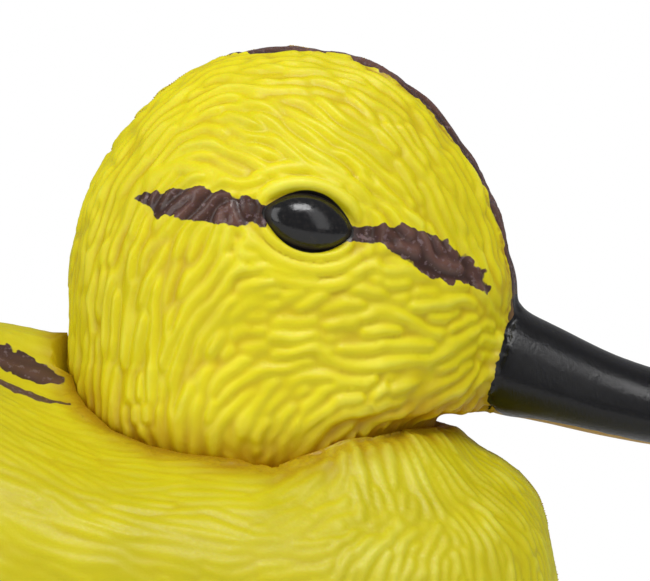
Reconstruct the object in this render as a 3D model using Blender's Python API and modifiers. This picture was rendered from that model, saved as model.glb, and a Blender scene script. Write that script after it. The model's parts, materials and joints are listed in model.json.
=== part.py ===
"""A floating duckling decoy: a hollow body shell, a hollow head that swivels on a snap plug in the
neck, set-in eyes, a screwed-on keel with a ballast bar, and a rubber drain plug.

The origin is the centre of the keel's flat underside. +X is towards the bill, +Z is up and +Y is
the bird's left. All values are in metres.
"""

import math

import bmesh
import bpy
from mathutils import Matrix, Vector
from mathutils.bvhtree import BVHTree

MM = 0.001

# Clearances
TOUCH_GAP = 0.3 * MM  # between pieces that bear on each other
SWIVEL_GAP = 0.8 * MM  # between the head and the cup that it turns in

# Keel, which is what the decoy stands on
KEEL_LENGTH = 80 * MM
KEEL_WIDTH = 24 * MM
KEEL_HEIGHT = 15 * MM
KEEL_EDGE_ROUND = 1.5 * MM
KEEL_DRAFT = 0.06  # how much smaller the keel's foot is than its top
BALLAST_LENGTH = 42 * MM
BALLAST_WIDTH = 12 * MM
BALLAST_HEIGHT = 9 * MM
BALLAST_EDGE = 0.6 * MM
LINE_HOLE_RADIUS = 2 * MM
LINE_HOLE_FROM_NOSE = 4.5 * MM
LINE_HOLE_HEIGHT = 6 * MM

# Keel screws and their washers
SCREW_RADIUS = 2.0 * MM
SCREW_LENGTH = 20 * MM  # under the head
SCREW_POINT_RADIUS = 0.8 * MM
SCREW_HEAD_RADIUS = 3.6 * MM
SCREW_CROWN_RADIUS = 2.5 * MM
SCREW_HEAD_HEIGHT = 2.2 * MM
SCREW_SLOT = 1.0 * MM
SCREW_SLOT_DEPTH = 1.0 * MM
SCREW_SPACING = 56 * MM
WASHER_RADIUS = 4.4 * MM
WASHER_THICKNESS = 0.8 * MM
COUNTERBORE_DEPTH = 5 * MM  # the screw's head and washer lie inside the keel
BOSS_WALL = 3 * MM

# Body
BODY_LENGTH = 153 * MM
BODY_WIDTH = 84 * MM
BODY_DEPTH = 51 * MM  # from the neck seam down to the belly
BACK_RISE = 13 * MM  # from the neck seam up to the top of the back
SHOULDER_SLOPE = 0.1  # how much the back's sections fall short of an ellipse at 45 degrees
BODY_WALL = 2.2 * MM
BREAST_FROM_KEEL = 21.5 * MM  # how far the breast stands ahead of the keel's nose

# Drain plug
DRAIN_RADIUS = 3.2 * MM
DRAIN_TIP_RADIUS = 2.7 * MM
DRAIN_STEM = 5 * MM
DRAIN_FLANGE_RADIUS = 5.5 * MM
DRAIN_FLANGE = 1.5 * MM
DRAIN_GRIP_RADIUS = 2.2 * MM
DRAIN_GRIP = 2.0 * MM
DRAIN_BEHIND_KEEL = 8 * MM

# Neck joint
NECK_SETBACK = 41.5 * MM  # from the breast back to the swivel axis
NECK_RADIUS = 25.4 * MM
NECK_DEPTH = 12 * MM  # from the seam down to the head's floor
NECK_FLOOR_RADIUS = 16 * MM
BOWL_STEPS = 6
CUP_WALL = 2.2 * MM
CUP_FLOOR = 2.5 * MM
SPIGOT_RADIUS = 10 * MM
SPIGOT_WALL = 2.2 * MM
SPIGOT_BEAD = 1.4 * MM
SPIGOT_BEAD_HEIGHT = 2.4 * MM
SPIGOT_SLOT = 2 * MM
PLUG_FLANGE_RADIUS = 15 * MM
PLUG_FLANGE = 1.5 * MM
PLUG_STUB_RADIUS = 12 * MM
PLUG_STUB = 4 * MM
SEAL_THICKNESS = 1.8 * MM

# Head
HEAD_HEIGHT = 49 * MM  # from the seam to the crown
HEAD_WALL = 2.0 * MM
BROW_LEVEL = 22 * MM  # height above the seam where the crown begins to lean forward
FACE_REACH = 35 * MM  # from the swivel axis forward to the face
CHIN_LEVEL = -0.6 * MM
CHIN_THICKNESS = 1.0 * MM
CROWN_SHIFT = 3.8 * MM  # how far the crown lies ahead of the swivel axis

# Bill, measured from the face
BILL_LENGTH = 33.5 * MM
BILL_BASE_DEPTH = 14.5 * MM
BILL_WIDTH = 16.5 * MM
BILL_ROOT = 10 * MM  # how far the bill is sunk into the face
BILL_SUNK = 2 * MM  # how far the bill's base line lies behind the face
BILL_DROP = 5.6 * MM  # fall of the under line from the face to its lowest point
BILL_EDGE_LEVEL = 0.36  # height of the widest line over the bill's own depth

# Eyes
EYE_FORWARD = 7.4 * MM  # ahead of the swivel axis
EYE_LEVEL = 25 * MM  # above the seam
EYE_LENGTH = 12 * MM
EYE_HEIGHT = 7.6 * MM
EYE_DEPTH = 6.4 * MM
EYE_PITCH = math.radians(12)  # the front corner is the lower one
EYE_SUNK = 1.6 * MM  # the bead's centre below the skin
EYE_SHANK_RADIUS = 1.5 * MM
EYE_SHANK = 5 * MM
EYE_BOSS_WALL = 1.5 * MM

# Levels and places that follow from the sizes above
BELLY_Z = KEEL_HEIGHT + TOUCH_GAP
SEAM_Z = BELLY_Z + BODY_DEPTH
BREAST_X = KEEL_LENGTH / 2 + BREAST_FROM_KEEL
NECK_X = BREAST_X - NECK_SETBACK
FLANGE_TOP_Z = SEAM_Z - NECK_DEPTH - TOUCH_GAP
FLANGE_BOTTOM_Z = FLANGE_TOP_Z - PLUG_FLANGE
CUP_FLOOR_Z = FLANGE_BOTTOM_Z - SEAL_THICKNESS - 2 * TOUCH_GAP
CUP_UNDER_Z = CUP_FLOOR_Z - CUP_FLOOR
PLUG_END_Z = CUP_UNDER_Z - TOUCH_GAP - SPIGOT_BEAD_HEIGHT
SCREW_SEAT_Z = COUNTERBORE_DEPTH - 2 * TOUCH_GAP - WASHER_THICKNESS
SCREW_END_Z = SCREW_SEAT_Z + SCREW_LENGTH
SCREW_XS = {"front": SCREW_SPACING / 2, "rear": -SCREW_SPACING / 2}
DRAIN_X = -KEEL_LENGTH / 2 - DRAIN_BEHIND_KEEL

AROUND = 36  # facets round a section of the body, head or keel
BILL_AROUND = 20
TURN_STEPS = 48  # facets round a large turned piece
OVERSHOOT = 2 * MM  # how far a cutter runs past what it cuts


# ---------------------------------------------------------------- scene and helpers


def clear_scene():
    for obj in list(bpy.data.objects):
        bpy.data.objects.remove(obj, do_unlink=True)


def new_collection(name):
    collection = bpy.data.collections.new(name)
    bpy.context.scene.collection.children.link(collection)
    return collection


clear_scene()
PARTS = new_collection("duckling_decoy")
CUTTERS = new_collection("cutters")


def plain_material(name, colour, roughness, metallic=0.0):
    material = bpy.data.materials.new(name)
    material.use_nodes = True
    shader = material.node_tree.nodes["Principled BSDF"]
    shader.inputs["Base Color"].default_value = (*colour, 1.0)
    shader.inputs["Roughness"].default_value = roughness
    shader.inputs["Metallic"].default_value = metallic
    return material


def add_object(name, mesh, material=None):
    """A named part with its material, or a hidden cutter when it has none."""
    obj = bpy.data.objects.new(name, mesh)
    if material is None:
        CUTTERS.objects.link(obj)
        obj.hide_render = True
        obj.display_type = "WIRE"
    else:
        PARTS.objects.link(obj)
        mesh.materials.append(material)
    return obj


def finish_mesh(name, bm, material=None):
    mesh = bpy.data.meshes.new(name)
    bm.to_mesh(mesh)
    bm.free()
    mesh.shade_smooth()
    mesh.set_sharp_from_angle(angle=math.radians(35))
    return add_object(name, mesh, material)


def boolean(target, other, operation="DIFFERENCE"):
    modifier = target.modifiers.new(f"{operation.lower()}_{other.name}", "BOOLEAN")
    modifier.operation = operation
    modifier.solver = "EXACT"
    modifier.object = other


def cylinder(name, radius, low, high, place=(0, 0), segments=32):
    """A cutter: an upright cylinder between two heights, at a plan position."""
    bm = bmesh.new()
    bmesh.ops.create_cone(
        bm, cap_ends=True, segments=segments, radius1=radius, radius2=radius, depth=high - low
    )
    bmesh.ops.translate(bm, verts=bm.verts, vec=(0, 0, (low + high) / 2))
    obj = finish_mesh(name, bm)
    obj.location = (*place, 0)
    return obj


def block(name, size, centre, material=None):
    bm = bmesh.new()
    bmesh.ops.create_cube(bm, size=1)
    bmesh.ops.scale(bm, verts=bm.verts, vec=size)
    obj = finish_mesh(name, bm, material)
    obj.location = centre
    return obj


def turned(name, profile, place, closed=False, steps=TURN_STEPS, material=None):
    """A profile of (radius, height) points, top to bottom down its outer side, turned about Z."""
    mesh = bpy.data.meshes.new(name)
    edges = [(i, i + 1) for i in range(len(profile) - 1)]
    if closed:
        edges.append((len(profile) - 1, 0))
    mesh.from_pydata([(radius, 0, height) for radius, height in profile], edges, [])
    obj = add_object(name, mesh, material)
    obj.location = (*place, 0)
    screw = obj.modifiers.new("turn", "SCREW")
    screw.steps = steps
    screw.render_steps = steps
    screw.use_merge_vertices = True
    screw.merge_threshold = 0.00001
    return obj


def round_edges(obj, width, segments=2):
    bevel = obj.modifiers.new("round_edges", "BEVEL")
    bevel.width = width
    bevel.segments = segments
    bevel.limit_method = "ANGLE"


def loft(rings):
    """A bmesh skin over rings of equal length. A ring of one point closes an end in a pole."""
    bm = bmesh.new()
    rows = [[bm.verts.new(point) for point in ring] for ring in rings]
    for lower, upper in zip(rows, rows[1:]):
        count = max(len(lower), len(upper))
        for i in range(count):
            j = (i + 1) % count
            corners = [lower[i % len(lower)], lower[j % len(lower)]]
            corners += [upper[j % len(upper)], upper[i % len(upper)]]
            bm.faces.new(dict.fromkeys(corners))
    for row in (rows[0], rows[-1]):
        if len(row) > 1:
            bm.faces.new(row)
    bmesh.ops.recalc_face_normals(bm, faces=bm.faces)
    return bm


def inner_skin(name, outer_bm, wall):
    """The hollow inside a skin: every point moved in by the wall along its normal."""
    bm = outer_bm.copy()
    bm.normal_update()
    moves = [(vert, vert.normal.copy()) for vert in bm.verts]
    for vert, normal in moves:
        vert.co -= normal * wall
    return finish_mesh(name, bm)


def hang_on_axis(name, place, pieces):
    """Parents pieces to an empty on their joint's axis, and leaves them where they are."""
    axis = bpy.data.objects.new(name, None)
    axis.location = place
    PARTS.objects.link(axis)
    for piece in pieces:
        piece.parent = axis
        piece.matrix_parent_inverse = Matrix.Translation(place).inverted()


def smooth_path(points, steps):
    """Points along the Catmull-Rom curve through number tuples, its first and last included."""
    first = [2 * a - b for a, b in zip(points[0], points[1])]
    last = [2 * a - b for a, b in zip(points[-1], points[-2])]
    padded = [first, *points, last]
    path = []
    for i in range(1, len(padded) - 2):
        before, start, end, after = padded[i - 1 : i + 3]
        for k in range(steps):
            t = k / steps
            path.append(
                tuple(
                    b + t * (c - a) / 2
                    + t**2 * (2 * a - 5 * b + 4 * c - d) / 2
                    + t**3 * (3 * b - a - 3 * c + d) / 2
                    for a, b, c, d in zip(before, start, end, after)
                )
            )
    path.append(tuple(points[-1]))
    return path


# ---------------------------------------------------------------- body


def body_stations():
    """Sections from breast to tail as (x, top, beam level, bottom, half width)."""
    # Each row: distance aft over the length, then top over the back's rise above the seam, beam
    # level and bottom over the depth below it, and the half width over the body's.
    shape = (
        (0.000, -1.95, -0.50, -0.51, 0.00),
        (0.022, -0.92, -0.47, -0.78, 0.47),
        (0.072, -0.42, -0.46, -0.95, 0.68),
        (0.140, -0.20, -0.46, -1.04, 0.81),
        (0.270, 0.16, -0.45, -1.06, 0.94),
        (0.435, 0.70, -0.44, -1.06, 1.00),
        (0.600, 1.00, -0.40, -1.06, 0.96),
        (0.750, 0.76, -0.30, -1.03, 0.80),
        (0.880, 0.48, -0.12, -0.66, 0.53),
        (0.965, 0.56, 0.00, -0.20, 0.30),
        (1.000, 0.45, 0.08, 0.07, 0.00),
    )
    return [
        (
            BREAST_X - aft * BODY_LENGTH,
            SEAM_Z + top * BACK_RISE,
            SEAM_Z + beam * BODY_DEPTH,
            SEAM_Z + bottom * BODY_DEPTH,
            half * BODY_WIDTH / 2,
        )
        for aft, top, beam, bottom, half in shape
    ]


def body_ring(x, top, beam, bottom, half_width):
    """An egg-shaped section across the body, flat where it would pass below the belly."""
    ring = []
    for i in range(AROUND):
        angle = 2 * math.pi * i / AROUND
        rise = math.sin(angle)
        if rise > 0:
            rise *= (top - beam) * (1 - SHOULDER_SLOPE * math.sin(2 * angle) ** 2)
        else:
            rise *= beam - bottom
        ring.append(Vector((x, half_width * math.cos(angle), max(beam + rise, BELLY_Z))))
    return ring


def body_skin():
    path = smooth_path(body_stations(), 3)
    rings = [body_ring(*station) for station in path[1:-1]]
    nose_x, _, nose_z, _, _ = path[0]
    tail_x, _, tail_z, _, _ = path[-1]
    return loft([[Vector((nose_x, 0, nose_z))], *rings, [Vector((tail_x, 0, tail_z))]])


def neck_bowl(grow, rise, floor_z):
    """The turned underside of the head, or with grow the cup round it, as a closed profile."""
    arc = [
        (
            NECK_FLOOR_RADIUS + grow + (NECK_RADIUS - NECK_FLOOR_RADIUS) * math.cos(angle),
            SEAM_Z - (NECK_DEPTH + grow) * math.sin(angle),
        )
        for angle in (math.pi / 2 * step / BOWL_STEPS for step in range(BOWL_STEPS + 1))
    ]
    top = SEAM_Z + rise
    wall = [(0, top), (NECK_RADIUS + grow, top), *arc]
    return [*wall, (NECK_FLOOR_RADIUS + grow, floor_z), (0, floor_z)]


def make_body(plastic):
    skin = body_skin()
    hollow = inner_skin("body_hollow", skin, BODY_WALL)
    body = finish_mesh("body_shell", skin, plastic)

    neck = (NECK_X, 0)
    above_back = BACK_RISE + OVERSHOOT
    cup_outside = neck_bowl(SWIVEL_GAP + CUP_WALL, above_back, CUP_UNDER_Z)
    boolean(hollow, turned("cup_block", cup_outside, neck))
    pilot_radius = SCREW_RADIUS + TOUCH_GAP
    pilot_top = SCREW_END_Z + TOUCH_GAP
    for name, x in SCREW_XS.items():
        boss_radius, boss_top = pilot_radius + BOSS_WALL, pilot_top + BOSS_WALL
        boolean(hollow, cylinder(f"boss_{name}", boss_radius, 0, boss_top, (x, 0), 24))
    boolean(body, hollow)

    cup_inside = neck_bowl(SWIVEL_GAP, above_back, CUP_FLOOR_Z)
    boolean(body, turned("cup_space", cup_inside, neck))
    bore_low, bore_high = CUP_UNDER_Z - OVERSHOOT, CUP_FLOOR_Z + OVERSHOOT
    bore = cylinder("spigot_bore", SPIGOT_RADIUS + TOUCH_GAP, bore_low, bore_high, neck)
    boolean(body, bore)

    for name, x in SCREW_XS.items():
        boolean(body, cylinder(f"pilot_{name}", pilot_radius, 0, pilot_top, (x, 0), 24))
    drain_top = BELLY_Z + BODY_WALL + OVERSHOOT
    boolean(body, cylinder("drain_hole", DRAIN_RADIUS + TOUCH_GAP, 0, drain_top, (DRAIN_X, 0)))


# ---------------------------------------------------------------- head


def head_stations():
    """Level sections from chin to crown as (level above the seam, front, rear and side reach)."""
    # Each row: level over the head's height, front over the face's reach, then rear and side
    # over the neck's radius, all from the swivel axis.
    shape = (
        (0.10, 0.946, 1.000, 1.000),
        (0.22, 0.980, 1.000, 1.000),
        (0.34, 1.000, 1.000, 1.000),
        (0.45, 0.983, 0.977, 0.985),
        (0.55, 0.943, 0.925, 0.955),
        (0.65, 0.880, 0.854, 0.890),
        (0.745, 0.794, 0.740, 0.790),
        (0.827, 0.706, 0.614, 0.670),
        (0.888, 0.611, 0.476, 0.545),
        (0.939, 0.497, 0.339, 0.410),
        (0.980, 0.335, 0.135, 0.230),
    )
    rows = [
        (level * HEAD_HEIGHT, front * FACE_REACH, rear * NECK_RADIUS, side * NECK_RADIUS)
        for level, front, rear, side in shape
    ]
    chin = (CHIN_LEVEL, 0.886 * FACE_REACH, NECK_RADIUS, NECK_RADIUS)
    crown = (HEAD_HEIGHT, CROWN_SHIFT, -CROWN_SHIFT, 0)
    return smooth_path([chin, *rows, crown], 2)


def head_ring(level, front, rear, side):
    """A level section of the head: half an ellipse in front, half an ellipse behind."""
    shift = CROWN_SHIFT * max(0.0, level - BROW_LEVEL) / (HEAD_HEIGHT - BROW_LEVEL)
    ring = []
    for i in range(AROUND):
        angle = 2 * math.pi * i / AROUND
        along = math.cos(angle)
        reach = front - shift if along > 0 else rear + shift
        x = NECK_X + shift + reach * along
        ring.append(Vector((x, side * math.sin(angle), SEAM_Z + level)))
    return ring


def head_skin():
    """The head without its bill: a turned bowl under the chin, and a lofted face and crown."""
    rings = []
    for step in range(BOWL_STEPS):
        angle = math.pi / 2 * (1 - step / BOWL_STEPS)
        level = -NECK_DEPTH * math.sin(angle)
        radius = NECK_FLOOR_RADIUS + (NECK_RADIUS - NECK_FLOOR_RADIUS) * math.cos(angle)
        if level < CHIN_LEVEL - CHIN_THICKNESS:
            rings.append(head_ring(level, radius, radius, radius))
    rings.append(head_ring(CHIN_LEVEL - CHIN_THICKNESS, NECK_RADIUS, NECK_RADIUS, NECK_RADIUS))
    rings += [head_ring(*station) for station in head_stations()[:-1]]
    crown = Vector((NECK_X + CROWN_SHIFT, 0, SEAM_Z + HEAD_HEIGHT))
    return loft([*rings, [crown]])


def bill_stations():
    """Sections from inside the face to the tip as (x, top, bottom, half width)."""
    face_x = NECK_X + FACE_REACH - BILL_SUNK
    under = SEAM_Z + CHIN_LEVEL + TOUCH_GAP
    half = BILL_WIDTH / 2
    # Each row: distance over the bill's length, height of the top line above the lowest point
    # over the base's depth, fall of the under line over its drop, and half width over the base's.
    shape = (
        (0.00, 1.38, 0.00, 1.00),
        (0.16, 1.21, 0.32, 0.96),
        (0.35, 0.98, 0.60, 0.90),
        (0.50, 0.82, 0.78, 0.88),
        (0.67, 0.69, 0.95, 0.90),
        (0.84, 0.58, 1.00, 0.90),
        (0.955, 0.45, 0.82, 0.62),
    )
    lowest = under - BILL_DROP
    rows = [(face_x - BILL_ROOT, under + BILL_BASE_DEPTH, under + CHIN_THICKNESS, half)]
    for along, top, fall, width in shape:
        x = face_x + along * BILL_LENGTH
        rows.append((x, lowest + top * BILL_BASE_DEPTH, under - fall * BILL_DROP, width * half))
    tip_z = lowest + 0.24 * BILL_BASE_DEPTH
    return smooth_path([*rows, (face_x + BILL_LENGTH, tip_z, tip_z, 0)], 2)


def bill_ring(x, top, bottom, half_width):
    edge = bottom + BILL_EDGE_LEVEL * (top - bottom)
    ring = []
    for i in range(BILL_AROUND):
        angle = 2 * math.pi * i / BILL_AROUND
        rise = math.sin(angle)
        reach = top - edge if rise > 0 else edge - bottom
        ring.append(Vector((x, half_width * math.cos(angle), edge + reach * rise)))
    return ring


def bill_skin():
    path = bill_stations()
    tip_x, tip_z = path[-1][:2]
    return loft([*[bill_ring(*station) for station in path[:-1]], [Vector((tip_x, 0, tip_z))]])


def eye_places(skull_tree):
    """Each eye's name, side and matrix: X along the eye, Y out of the head, Z up."""
    places = []
    for name, side in (("left", 1), ("right", -1)):
        start = Vector((NECK_X + EYE_FORWARD, side * 3 * NECK_RADIUS, SEAM_Z + EYE_LEVEL))
        skin_point, out, _, _ = skull_tree.ray_cast(start, Vector((0, -side, 0)))
        forward = Vector((math.cos(EYE_PITCH), 0, -math.sin(EYE_PITCH)))
        along = (forward - out * forward.dot(out)).normalized()
        up = along.cross(out)
        turn = Matrix((along, out, up)).transposed().to_4x4()
        places.append((name, Matrix.Translation(skin_point - out * EYE_SUNK) @ turn))
    return places


def eye_bead(name, place, grow, material=None):
    """An egg-shaped bead, made larger all round by grow when it is the socket's cutter."""
    bm = bmesh.new()
    bmesh.ops.create_uvsphere(bm, u_segments=24, v_segments=14, radius=1)
    size = (EYE_LENGTH / 2 + grow, EYE_DEPTH / 2 + grow, EYE_HEIGHT / 2 + grow)
    bmesh.ops.scale(bm, verts=bm.verts, vec=size)
    bead = finish_mesh(name, bm, material)
    bead.matrix_world = place
    return bead


def eye_shank(name, place, grow):
    """The pin behind the bead, or with grow the hole that it goes through."""
    bm = bmesh.new()
    depth = EYE_DEPTH / 2 + EYE_SHANK + 2 * grow
    radius = EYE_SHANK_RADIUS + grow
    bmesh.ops.create_cone(bm, cap_ends=True, segments=16, radius1=radius, radius2=radius, depth=depth)
    bmesh.ops.rotate(bm, verts=bm.verts, matrix=Matrix.Rotation(math.pi / 2, 3, "X"))
    bmesh.ops.translate(bm, verts=bm.verts, vec=(0, -depth / 2, 0))
    shank = finish_mesh(name, bm)
    shank.matrix_world = place
    return shank


def make_head(plastic, eye_plastic):
    skin = head_skin()
    skull_tree = BVHTree.FromBMesh(skin)
    hollow = inner_skin("head_hollow", skin, HEAD_WALL)
    head = finish_mesh("head_shell", skin, plastic)
    boolean(head, finish_mesh("bill_form", bill_skin()), "UNION")

    places = eye_places(skull_tree)
    boss_radius = EYE_LENGTH / 2 + EYE_BOSS_WALL
    for name, place in places:
        bm = bmesh.new()
        bmesh.ops.create_uvsphere(bm, u_segments=16, v_segments=10, radius=boss_radius)
        boss = finish_mesh(f"eye_boss_{name}", bm)
        boss.matrix_world = place
        boolean(hollow, boss)
    boolean(head, hollow)

    floor_z = SEAM_Z - NECK_DEPTH
    low, high = floor_z - OVERSHOOT, floor_z + HEAD_WALL + OVERSHOOT
    boolean(head, cylinder("plug_hole", PLUG_STUB_RADIUS + TOUCH_GAP, low, high, (NECK_X, 0)))
    for name, place in places:
        boolean(head, eye_bead(f"socket_{name}", place, TOUCH_GAP))
        boolean(head, eye_shank(f"shank_hole_{name}", place, TOUCH_GAP))
        eye = eye_bead(f"eye_{name}", place, 0, eye_plastic)
        boolean(eye, eye_shank(f"shank_{name}", place, 0), "UNION")


# ---------------------------------------------------------------- neck joint


def make_neck_plug(plastic):
    """The snap plug: a stub in the head's floor, a flange, and a slotted spigot with a bead."""
    stub_top = FLANGE_TOP_Z + PLUG_STUB
    core = SPIGOT_RADIUS - SPIGOT_WALL
    bead = SPIGOT_RADIUS + SPIGOT_BEAD
    bead_top = PLUG_END_Z + SPIGOT_BEAD_HEIGHT
    profile = [
        (0, stub_top),
        (PLUG_STUB_RADIUS, stub_top),
        (PLUG_STUB_RADIUS, FLANGE_TOP_Z),
        (PLUG_FLANGE_RADIUS, FLANGE_TOP_Z),
        (PLUG_FLANGE_RADIUS, FLANGE_BOTTOM_Z),
        (SPIGOT_RADIUS, FLANGE_BOTTOM_Z),
        (SPIGOT_RADIUS, bead_top),
        (bead, bead_top),
        (SPIGOT_RADIUS, PLUG_END_Z),
        (core, PLUG_END_Z),
        (core, FLANGE_BOTTOM_Z),
        (0, FLANGE_BOTTOM_Z),
    ]
    plug = turned("neck_plug", profile, (NECK_X, 0), material=plastic)
    slot_height = CUP_FLOOR_Z - PLUG_END_Z + OVERSHOOT
    slot_centre = (NECK_X, 0, CUP_FLOOR_Z - slot_height / 2)
    slot_length = 3 * SPIGOT_RADIUS
    boolean(plug, block("slot_along", (slot_length, SPIGOT_SLOT, slot_height), slot_centre))
    boolean(plug, block("slot_across", (SPIGOT_SLOT, slot_length, slot_height), slot_centre))


def make_neck_seal(rubber):
    """The ring round the spigot that keeps water out and holds the head where it is turned."""
    bpy.ops.mesh.primitive_torus_add(
        major_radius=(SPIGOT_RADIUS + PLUG_FLANGE_RADIUS) / 2,
        minor_radius=SEAL_THICKNESS / 2,
        major_segments=TURN_STEPS,
        minor_segments=10,
        location=(NECK_X, 0, FLANGE_BOTTOM_Z - TOUCH_GAP - SEAL_THICKNESS / 2),
    )
    seal = bpy.context.object
    seal.name = "neck_seal"
    seal.data.materials.append(rubber)
    seal.data.shade_smooth()
    for collection in list(seal.users_collection):
        collection.objects.unlink(seal)
    PARTS.objects.link(seal)


# ---------------------------------------------------------------- keel and belly fittings


def make_keel(plastic, steel, stainless):
    bm = bmesh.new()
    bmesh.ops.create_cone(
        bm, cap_ends=True, segments=AROUND, radius1=1 - KEEL_DRAFT, radius2=1, depth=1
    )
    bmesh.ops.translate(bm, verts=bm.verts, vec=(0, 0, 0.5))
    bmesh.ops.scale(bm, verts=bm.verts, vec=(KEEL_LENGTH / 2, KEEL_WIDTH / 2, KEEL_HEIGHT))
    keel = finish_mesh("keel", bm, plastic)
    round_edges(keel, KEEL_EDGE_ROUND)

    room = 2 * TOUCH_GAP
    trough_height = BALLAST_HEIGHT + room
    trough_size = (BALLAST_LENGTH + room, BALLAST_WIDTH + room, trough_height + OVERSHOOT)
    trough_z = KEEL_HEIGHT - trough_height + trough_size[2] / 2
    boolean(keel, block("ballast_trough", trough_size, (0, 0, trough_z)))
    ballast_z = KEEL_HEIGHT - TOUCH_GAP - BALLAST_HEIGHT / 2
    ballast_size = (BALLAST_LENGTH, BALLAST_WIDTH, BALLAST_HEIGHT)
    ballast = block("ballast_bar", ballast_size, (0, 0, ballast_z), steel)
    round_edges(ballast, BALLAST_EDGE, 1)

    line_x = KEEL_LENGTH / 2 - LINE_HOLE_FROM_NOSE
    hole = cylinder("line_hole", LINE_HOLE_RADIUS, -KEEL_WIDTH, KEEL_WIDTH, segments=24)
    hole.rotation_euler = (math.pi / 2, 0, 0)
    hole.location = (line_x, 0, LINE_HOLE_HEIGHT)
    boolean(keel, hole)

    washer_hole, screw_hole = WASHER_RADIUS + TOUCH_GAP, SCREW_RADIUS + TOUCH_GAP
    for name, x in SCREW_XS.items():
        low, high = -OVERSHOOT, KEEL_HEIGHT + OVERSHOOT
        boolean(keel, cylinder(f"counterbore_{name}", washer_hole, low, COUNTERBORE_DEPTH, (x, 0)))
        boolean(keel, cylinder(f"clear_hole_{name}", screw_hole, 0, high, (x, 0), 24))
        make_screw(name, x, stainless)


def make_screw(name, x, stainless):
    """A pan-head screw up through the keel into its boss, on a flat washer."""
    washer_low = SCREW_SEAT_Z + TOUCH_GAP
    washer_top = washer_low + WASHER_THICKNESS
    washer_hole = SCREW_RADIUS + TOUCH_GAP
    washer = [
        (washer_hole, washer_top),
        (WASHER_RADIUS, washer_top),
        (WASHER_RADIUS, washer_low),
        (washer_hole, washer_low),
    ]
    turned(f"keel_washer_{name}", washer, (x, 0), True, 32, stainless)

    head_low = SCREW_SEAT_Z - SCREW_HEAD_HEIGHT
    profile = [
        (0, SCREW_END_Z),
        (SCREW_POINT_RADIUS, SCREW_END_Z),
        (SCREW_RADIUS, SCREW_END_Z - 2 * SCREW_RADIUS),
        (SCREW_RADIUS, SCREW_SEAT_Z),
        (SCREW_HEAD_RADIUS, SCREW_SEAT_Z),
        (SCREW_HEAD_RADIUS, SCREW_SEAT_Z - SCREW_HEAD_HEIGHT / 2),
        (SCREW_CROWN_RADIUS, head_low),
        (0, head_low),
    ]
    screw = turned(f"keel_screw_{name}", profile, (x, 0), False, 24, stainless)
    slot_size = (3 * SCREW_HEAD_RADIUS, SCREW_SLOT, 2 * SCREW_SLOT_DEPTH)
    boolean(screw, block(f"driver_slot_{name}", slot_size, (x, 0, head_low)))


def make_drain_plug(rubber):
    flange_top = BELLY_Z - TOUCH_GAP
    flange_low = flange_top - DRAIN_FLANGE
    profile = [
        (0, flange_top + DRAIN_STEM),
        (DRAIN_TIP_RADIUS, flange_top + DRAIN_STEM),
        (DRAIN_RADIUS, flange_top + DRAIN_STEM / 2),
        (DRAIN_RADIUS, flange_top),
        (DRAIN_FLANGE_RADIUS, flange_top),
        (DRAIN_FLANGE_RADIUS, flange_low),
        (DRAIN_GRIP_RADIUS, flange_low),
        (DRAIN_GRIP_RADIUS, flange_low - DRAIN_GRIP),
        (0, flange_low - DRAIN_GRIP),
    ]
    turned("drain_plug", profile, (DRAIN_X, 0), steps=32, material=rubber)


# ---------------------------------------------------------------- the decoy

SHELL_YELLOW = plain_material("shell_yellow", (0.72, 0.62, 0.03), 0.45)
EYE_BLACK = plain_material("eye_black", (0.01, 0.01, 0.01), 0.1)
PLUG_WHITE = plain_material("plug_white", (0.75, 0.74, 0.68), 0.5)
RUBBER_BLACK = plain_material("rubber_black", (0.02, 0.02, 0.02), 0.8)
KEEL_GREY = plain_material("keel_grey", (0.06, 0.06, 0.055), 0.6)
BALLAST_STEEL = plain_material("ballast_steel", (0.3, 0.29, 0.28), 0.5, 1.0)
STAINLESS = plain_material("stainless", (0.6, 0.6, 0.6), 0.3, 1.0)

make_body(SHELL_YELLOW)
make_neck_seal(RUBBER_BLACK)
make_keel(KEEL_GREY, BALLAST_STEEL, STAINLESS)
make_drain_plug(RUBBER_BLACK)
still = set(bpy.data.objects)
make_head(SHELL_YELLOW, EYE_BLACK)
make_neck_plug(PLUG_WHITE)
hang_on_axis("head_swivel", (NECK_X, 0, SEAM_Z), set(bpy.data.objects) - still)
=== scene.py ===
"""A floating duckling decoy: the finish of each piece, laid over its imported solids."""
import json
import math

import bmesh
import bpy
import numpy as np
from mathutils import Matrix, Vector, kdtree
from mathutils.bvhtree import BVHTree


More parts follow.
